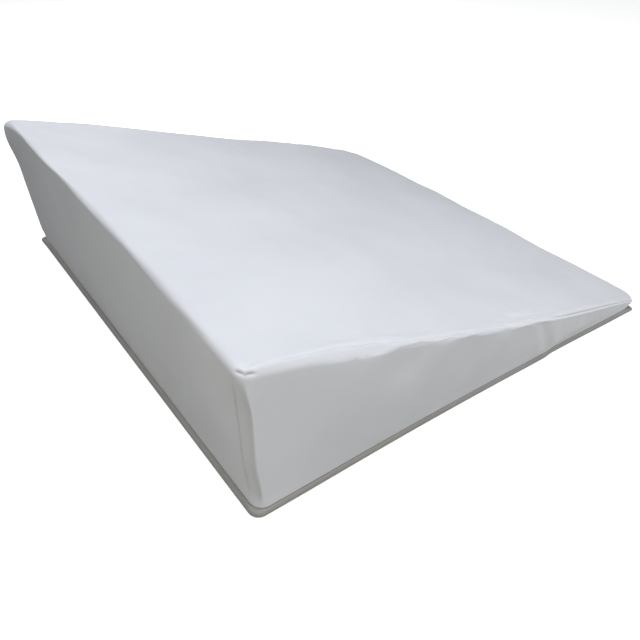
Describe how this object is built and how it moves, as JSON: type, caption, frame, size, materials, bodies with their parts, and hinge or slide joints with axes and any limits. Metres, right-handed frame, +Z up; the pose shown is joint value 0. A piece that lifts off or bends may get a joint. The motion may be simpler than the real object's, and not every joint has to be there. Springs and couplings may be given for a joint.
{
  "type": "wedge bed pillow",
  "caption": "Foam wedge bed pillow in a close white fabric cover, sloping from a tall end to a thin end, on a thin grey fabric base panel.",
  "frame": {"origin": "centre of the bounding box at the face the pillow lies on", "axes": "+X from the tall end to the thin end, +Z up out of the surface it lies on, +Y to the triangular side that is hidden in the picture"},
  "size_m": [0.6142, 0.6116, 0.1755],
  "materials": {
    "white_cover": "close white knit with a faint satin sheen",
    "grey_base": "matt grey woven fabric"
  },
  "bodies": {
    "root": {"covered_wedge": "white_cover", "base_panel": "grey_base"}
  },
  "joints": []
}
